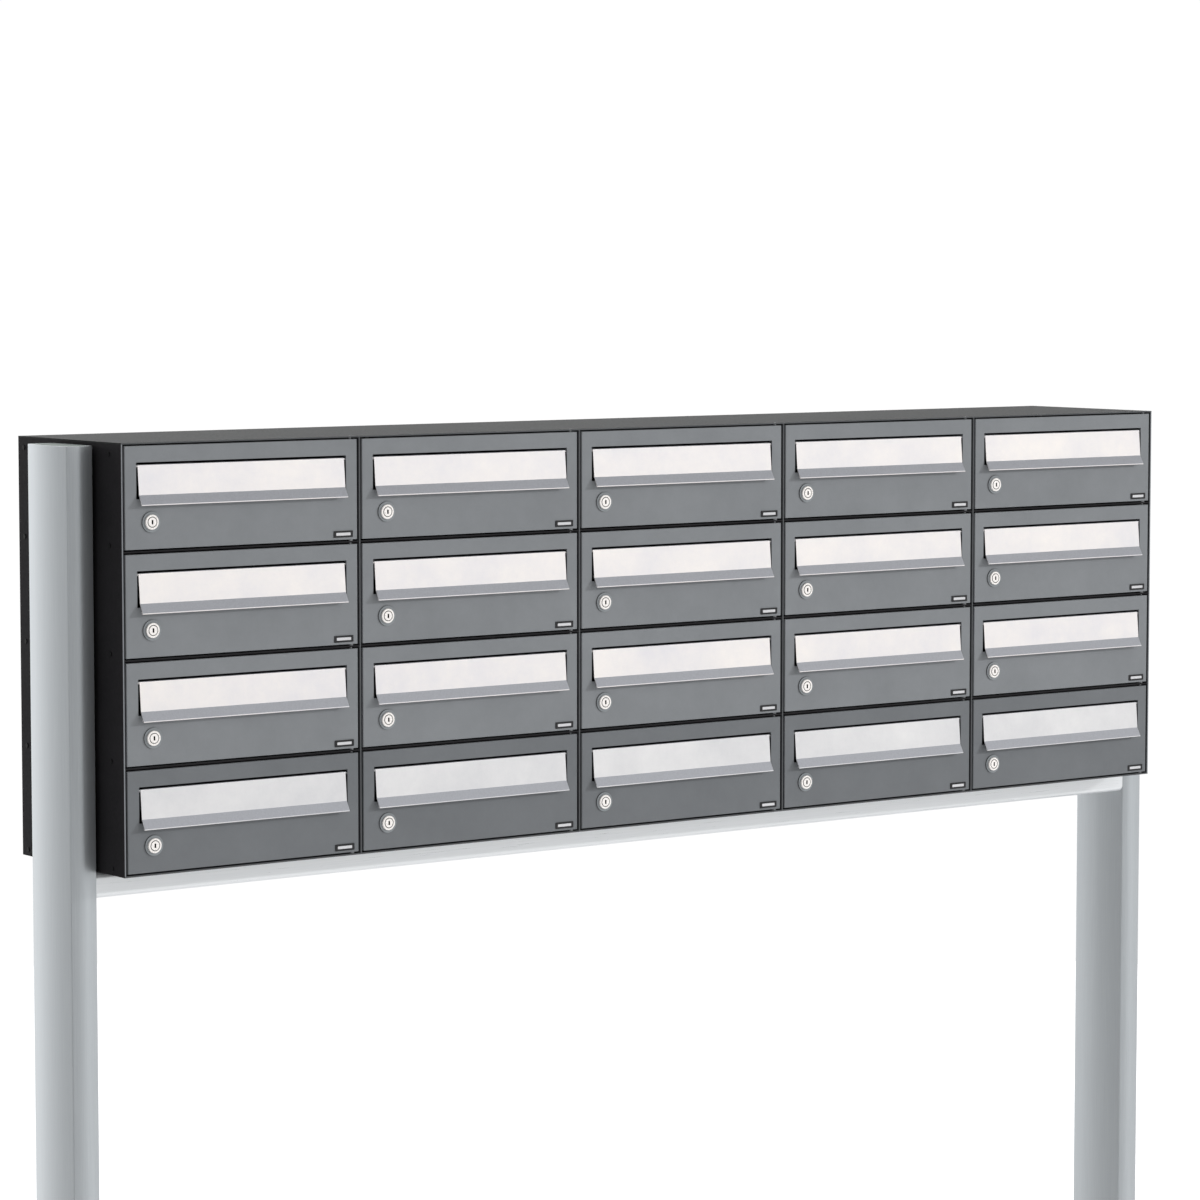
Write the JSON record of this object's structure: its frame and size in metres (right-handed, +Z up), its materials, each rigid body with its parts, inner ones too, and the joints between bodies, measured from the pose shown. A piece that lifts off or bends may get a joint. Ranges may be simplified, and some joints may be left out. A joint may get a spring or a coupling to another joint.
{
  "type": "cluster mailbox unit",
  "caption": "Free-standing bank of locking mailboxes in a black steel casing, with grey doors and stainless flaps, on aluminium posts.",
  "frame": {"origin": "on the floor, under the centre of the whole unit", "axes": "+X along the front to the right as a person faces the doors, +Y into the depth, +Z up"},
  "size_m": [2.1, 0.296, 1.65],
  "materials": {
    "casing_black": "fine powder coat, near black",
    "door_grey": "fine powder coat, mid grey",
    "flap_stainless": "satin stainless steel",
    "lock_nickel": "satin nickel",
    "anodised_aluminium": "silver anodised",
    "cap_grey": "moulded, fine grain",
    "base_steel": "galvanised",
    "zinc_steel": "zinc plated",
    "black_screw": "black oxide"
  },
  "bodies": {
    "casing": {"left_post": "anodised_aluminium", "right_post": "anodised_aluminium", "post_caps": "cap_grey", "base_plates": "base_steel", "crossbar": "anodised_aluminium", "post_fixings": "zinc_steel", "roof_panel": "casing_black", "floor_panel": "casing_black", "side_panels": "casing_black", "back_panel": "casing_black", "column_partitions": "casing_black", "shelves": "casing_black", "hinge_pins": "zinc_steel", "strike_plates": "zinc_steel", "shelf_cleats": "zinc_steel", "casing_screws": "black_screw"},
    "door_c1_r1": {"door_c1_r1": "door_grey"},
    "door_c1_r2": {"door_c1_r2": "door_grey"},
    "door_c1_r3": {"door_c1_r3": "door_grey"},
    "door_c1_r4": {"door_c1_r4": "door_grey"},
    "door_c2_r1": {"door_c2_r1": "door_grey"},
    "door_c2_r2": {"door_c2_r2": "door_grey"},
    "door_c2_r3": {"door_c2_r3": "door_grey"},
    "door_c2_r4": {"door_c2_r4": "door_grey"},
    "door_c3_r1": {"door_c3_r1": "door_grey"},
    "door_c3_r2": {"door_c3_r2": "door_grey"},
    "door_c3_r3": {"door_c3_r3": "door_grey"},
    "door_c3_r4": {"door_c3_r4": "door_grey"},
    "door_c4_r1": {"door_c4_r1": "door_grey"},
    "door_c4_r2": {"door_c4_r2": "door_grey"},
    "door_c4_r3": {"door_c4_r3": "door_grey"},
    "door_c4_r4": {"door_c4_r4": "door_grey"},
    "door_c5_r1": {"door_c5_r1": "door_grey"},
    "door_c5_r2": {"door_c5_r2": "door_grey"},
    "door_c5_r3": {"door_c5_r3": "door_grey"},
    "door_c5_r4": {"door_c5_r4": "door_grey"},
    "flap_c1_r1": {"flap_c1_r1": "flap_stainless"},
    "flap_c1_r2": {"flap_c1_r2": "flap_stainless"},
    "flap_c1_r3": {"flap_c1_r3": "flap_stainless"},
    "flap_c1_r4": {"flap_c1_r4": "flap_stainless"},
    "flap_c2_r1": {"flap_c2_r1": "flap_stainless"},
    "flap_c2_r2": {"flap_c2_r2": "flap_stainless"},
    "flap_c2_r3": {"flap_c2_r3": "flap_stainless"},
    "flap_c2_r4": {"flap_c2_r4": "flap_stainless"},
    "flap_c3_r1": {"flap_c3_r1": "flap_stainless"},
    "flap_c3_r2": {"flap_c3_r2": "flap_stainless"},
    "flap_c3_r3": {"flap_c3_r3": "flap_stainless"},
    "flap_c3_r4": {"flap_c3_r4": "flap_stainless"},
    "flap_c4_r1": {"flap_c4_r1": "flap_stainless"},
    "flap_c4_r2": {"flap_c4_r2": "flap_stainless"},
    "flap_c4_r3": {"flap_c4_r3": "flap_stainless"},
    "flap_c4_r4": {"flap_c4_r4": "flap_stainless"},
    "flap_c5_r1": {"flap_c5_r1": "flap_stainless"},
    "flap_c5_r2": {"flap_c5_r2": "flap_stainless"},
    "flap_c5_r3": {"flap_c5_r3": "flap_stainless"},
    "flap_c5_r4": {"flap_c5_r4": "flap_stainless"},
    "lock_c1_r1": {"lock_c1_r1": "lock_nickel"},
    "lock_c1_r2": {"lock_c1_r2": "lock_nickel"},
    "lock_c1_r3": {"lock_c1_r3": "lock_nickel"},
    "lock_c1_r4": {"lock_c1_r4": "lock_nickel"}
  },
  "joints": [
    {"name": "door_c1_r1_hinge", "type": "hinge", "parent": "casing", "child": "door_c1_r1", "pos_m": [-0.58925, -0.13122, 1.575], "axis": [0, 0, 1], "range_deg": [0, 95]},
    {"name": "door_c1_r2_hinge", "type": "hinge", "parent": "casing", "child": "door_c1_r2", "pos_m": [-0.58925, -0.13122, 1.427], "axis": [0, 0, 1], "range_deg": [0, 95]},
    {"name": "door_c1_r3_hinge", "type": "hinge", "parent": "casing", "child": "door_c1_r3", "pos_m": [-0.58925, -0.13122, 1.279], "axis": [0, 0, 1], "range_deg": [0, 95]},
    {"name": "door_c1_r4_hinge", "type": "hinge", "parent": "casing", "child": "door_c1_r4", "pos_m": [-0.58925, -0.13122, 1.131], "axis": [0, 0, 1], "range_deg": [0, 95]},
    {"name": "door_c2_r1_hinge", "type": "hinge", "parent": "casing", "child": "door_c2_r1", "pos_m": [-0.20425, -0.13122, 1.575], "axis": [0, 0, 1], "range_deg": [0, 95]},
    {"name": "door_c2_r2_hinge", "type": "hinge", "parent": "casing", "child": "door_c2_r2", "pos_m": [-0.20425, -0.13122, 1.427], "axis": [0, 0, 1], "range_deg": [0, 95]},
    {"name": "door_c2_r3_hinge", "type": "hinge", "parent": "casing", "child": "door_c2_r3", "pos_m": [-0.20425, -0.13122, 1.279], "axis": [0, 0, 1], "range_deg": [0, 95]},
    {"name": "door_c2_r4_hinge", "type": "hinge", "parent": "casing", "child": "door_c2_r4", "pos_m": [-0.20425, -0.13122, 1.131], "axis": [0, 0, 1], "range_deg": [0, 95]},
    {"name": "door_c3_r1_hinge", "type": "hinge", "parent": "casing", "child": "door_c3_r1", "pos_m": [0.18075, -0.13122, 1.575], "axis": [0, 0, 1], "range_deg": [0, 95]},
    {"name": "door_c3_r2_hinge", "type": "hinge", "parent": "casing", "child": "door_c3_r2", "pos_m": [0.18075, -0.13122, 1.427], "axis": [0, 0, 1], "range_deg": [0, 95]},
    {"name": "door_c3_r3_hinge", "type": "hinge", "parent": "casing", "child": "door_c3_r3", "pos_m": [0.18075, -0.13122, 1.279], "axis": [0, 0, 1], "range_deg": [0, 95]},
    {"name": "door_c3_r4_hinge", "type": "hinge", "parent": "casing", "child": "door_c3_r4", "pos_m": [0.18075, -0.13122, 1.131], "axis": [0, 0, 1], "range_deg": [0, 95]},
    {"name": "door_c4_r1_hinge", "type": "hinge", "parent": "casing", "child": "door_c4_r1", "pos_m": [0.56575, -0.13122, 1.575], "axis": [0, 0, 1], "range_deg": [0, 95]},
    {"name": "door_c4_r2_hinge", "type": "hinge", "parent": "casing", "child": "door_c4_r2", "pos_m": [0.56575, -0.13122, 1.427], "axis": [0, 0, 1], "range_deg": [0, 95]},
    {"name": "door_c4_r3_hinge", "type": "hinge", "parent": "casing", "child": "door_c4_r3", "pos_m": [0.56575, -0.13122, 1.279], "axis": [0, 0, 1], "range_deg": [0, 95]},
    {"name": "door_c4_r4_hinge", "type": "hinge", "parent": "casing", "child": "door_c4_r4", "pos_m": [0.56575, -0.13122, 1.131], "axis": [0, 0, 1], "range_deg": [0, 95]},
    {"name": "door_c5_r1_hinge", "type": "hinge", "parent": "casing", "child": "door_c5_r1", "pos_m": [0.95075, -0.13122, 1.575], "axis": [0, 0, 1], "range_deg": [0, 95]},
    {"name": "door_c5_r2_hinge", "type": "hinge", "parent": "casing", "child": "door_c5_r2", "pos_m": [0.95075, -0.13122, 1.427], "axis": [0, 0, 1], "range_deg": [0, 95]},
    {"name": "door_c5_r3_hinge", "type": "hinge", "parent": "casing", "child": "door_c5_r3", "pos_m": [0.95075, -0.13122, 1.279], "axis": [0, 0, 1], "range_deg": [0, 95]},
    {"name": "door_c5_r4_hinge", "type": "hinge", "parent": "casing", "child": "door_c5_r4", "pos_m": [0.95075, -0.13122, 1.131], "axis": [0, 0, 1], "range_deg": [0, 95]},
    {"name": "flap_c1_r1_hinge", "type": "hinge", "parent": "door_c1_r1", "child": "flap_c1_r1", "pos_m": [-0.77, -0.13472, 1.618], "axis": [-1, 0, 0], "range_deg": [0, 80]},
    {"name": "flap_c1_r2_hinge", "type": "hinge", "parent": "door_c1_r2", "child": "flap_c1_r2", "pos_m": [-0.77, -0.13472, 1.47], "axis": [-1, 0, 0], "range_deg": [0, 80]},
    {"name": "flap_c1_r3_hinge", "type": "hinge", "parent": "door_c1_r3", "child": "flap_c1_r3", "pos_m": [-0.77, -0.13472, 1.322], "axis": [-1, 0, 0], "range_deg": [0, 80]},
    {"name": "flap_c1_r4_hinge", "type": "hinge", "parent": "door_c1_r4", "child": "flap_c1_r4", "pos_m": [-0.77, -0.13472, 1.174], "axis": [-1, 0, 0], "range_deg": [0, 80]},
    {"name": "flap_c2_r1_hinge", "type": "hinge", "parent": "door_c2_r1", "child": "flap_c2_r1", "pos_m": [-0.385, -0.13472, 1.618], "axis": [-1, 0, 0], "range_deg": [0, 80]},
    {"name": "flap_c2_r2_hinge", "type": "hinge", "parent": "door_c2_r2", "child": "flap_c2_r2", "pos_m": [-0.385, -0.13472, 1.47], "axis": [-1, 0, 0], "range_deg": [0, 80]},
    {"name": "flap_c2_r3_hinge", "type": "hinge", "parent": "door_c2_r3", "child": "flap_c2_r3", "pos_m": [-0.385, -0.13472, 1.322], "axis": [-1, 0, 0], "range_deg": [0, 80]},
    {"name": "flap_c2_r4_hinge", "type": "hinge", "parent": "door_c2_r4", "child": "flap_c2_r4", "pos_m": [-0.385, -0.13472, 1.174], "axis": [-1, 0, 0], "range_deg": [0, 80]},
    {"name": "flap_c3_r1_hinge", "type": "hinge", "parent": "door_c3_r1", "child": "flap_c3_r1", "pos_m": [0, -0.13472, 1.618], "axis": [-1, 0, 0], "range_deg": [0, 80]},
    {"name": "flap_c3_r2_hinge", "type": "hinge", "parent": "door_c3_r2", "child": "flap_c3_r2", "pos_m": [0, -0.13472, 1.47], "axis": [-1, 0, 0], "range_deg": [0, 80]},
    {"name": "flap_c3_r3_hinge", "type": "hinge", "parent": "door_c3_r3", "child": "flap_c3_r3", "pos_m": [0, -0.13472, 1.322], "axis": [-1, 0, 0], "range_deg": [0, 80]},
    {"name": "flap_c3_r4_hinge", "type": "hinge", "parent": "door_c3_r4", "child": "flap_c3_r4", "pos_m": [0, -0.13472, 1.174], "axis": [-1, 0, 0], "range_deg": [0, 80]},
    {"name": "flap_c4_r1_hinge", "type": "hinge", "parent": "door_c4_r1", "child": "flap_c4_r1", "pos_m": [0.385, -0.13472, 1.618], "axis": [-1, 0, 0], "range_deg": [0, 80]},
    {"name": "flap_c4_r2_hinge", "type": "hinge", "parent": "door_c4_r2", "child": "flap_c4_r2", "pos_m": [0.385, -0.13472, 1.47], "axis": [-1, 0, 0], "range_deg": [0, 80]},
    {"name": "flap_c4_r3_hinge", "type": "hinge", "parent": "door_c4_r3", "child": "flap_c4_r3", "pos_m": [0.385, -0.13472, 1.322], "axis": [-1, 0, 0], "range_deg": [0, 80]},
    {"name": "flap_c4_r4_hinge", "type": "hinge", "parent": "door_c4_r4", "child": "flap_c4_r4", "pos_m": [0.385, -0.13472, 1.174], "axis": [-1, 0, 0], "range_deg": [0, 80]},
    {"name": "flap_c5_r1_hinge", "type": "hinge", "parent": "door_c5_r1", "child": "flap_c5_r1", "pos_m": [0.77, -0.13472, 1.618], "axis": [-1, 0, 0], "range_deg": [0, 80]},
    {"name": "flap_c5_r2_hinge", "type": "hinge", "parent": "door_c5_r2", "child": "flap_c5_r2", "pos_m": [0.77, -0.13472, 1.47], "axis": [-1, 0, 0], "range_deg": [0, 80]},
    {"name": "flap_c5_r3_hinge", "type": "hinge", "parent": "door_c5_r3", "child": "flap_c5_r3", "pos_m": [0.77, -0.13472, 1.322], "axis": [-1, 0, 0], "range_deg": [0, 80]},
    {"name": "flap_c5_r4_hinge", "type": "hinge", "parent": "door_c5_r4", "child": "flap_c5_r4", "pos_m": [0.77, -0.13472, 1.174], "axis": [-1, 0, 0], "range_deg": [0, 80]},
    {"name": "lock_c1_r1_turn", "type": "hinge", "parent": "door_c1_r1", "child": "lock_c1_r1", "pos_m": [-0.9175, -0.13822, 1.5414], "axis": [0, 1, 0], "range_deg": [0, 90]},
    {"name": "lock_c1_r2_turn", "type": "hinge", "parent": "door_c1_r2", "child": "lock_c1_r2", "pos_m": [-0.9175, -0.13822, 1.3934], "axis": [0, 1, 0], "range_deg": [0, 90]},
    {"name": "lock_c1_r3_turn", "type": "hinge", "parent": "door_c1_r3", "child": "lock_c1_r3", "pos_m": [-0.9175, -0.13822, 1.2454], "axis": [0, 1, 0], "range_deg": [0, 90]},
    {"name": "lock_c1_r4_turn", "type": "hinge", "parent": "door_c1_r4", "child": "lock_c1_r4", "pos_m": [-0.9175, -0.13822, 1.0974], "axis": [0, 1, 0], "range_deg": [0, 90]}
  ]
}
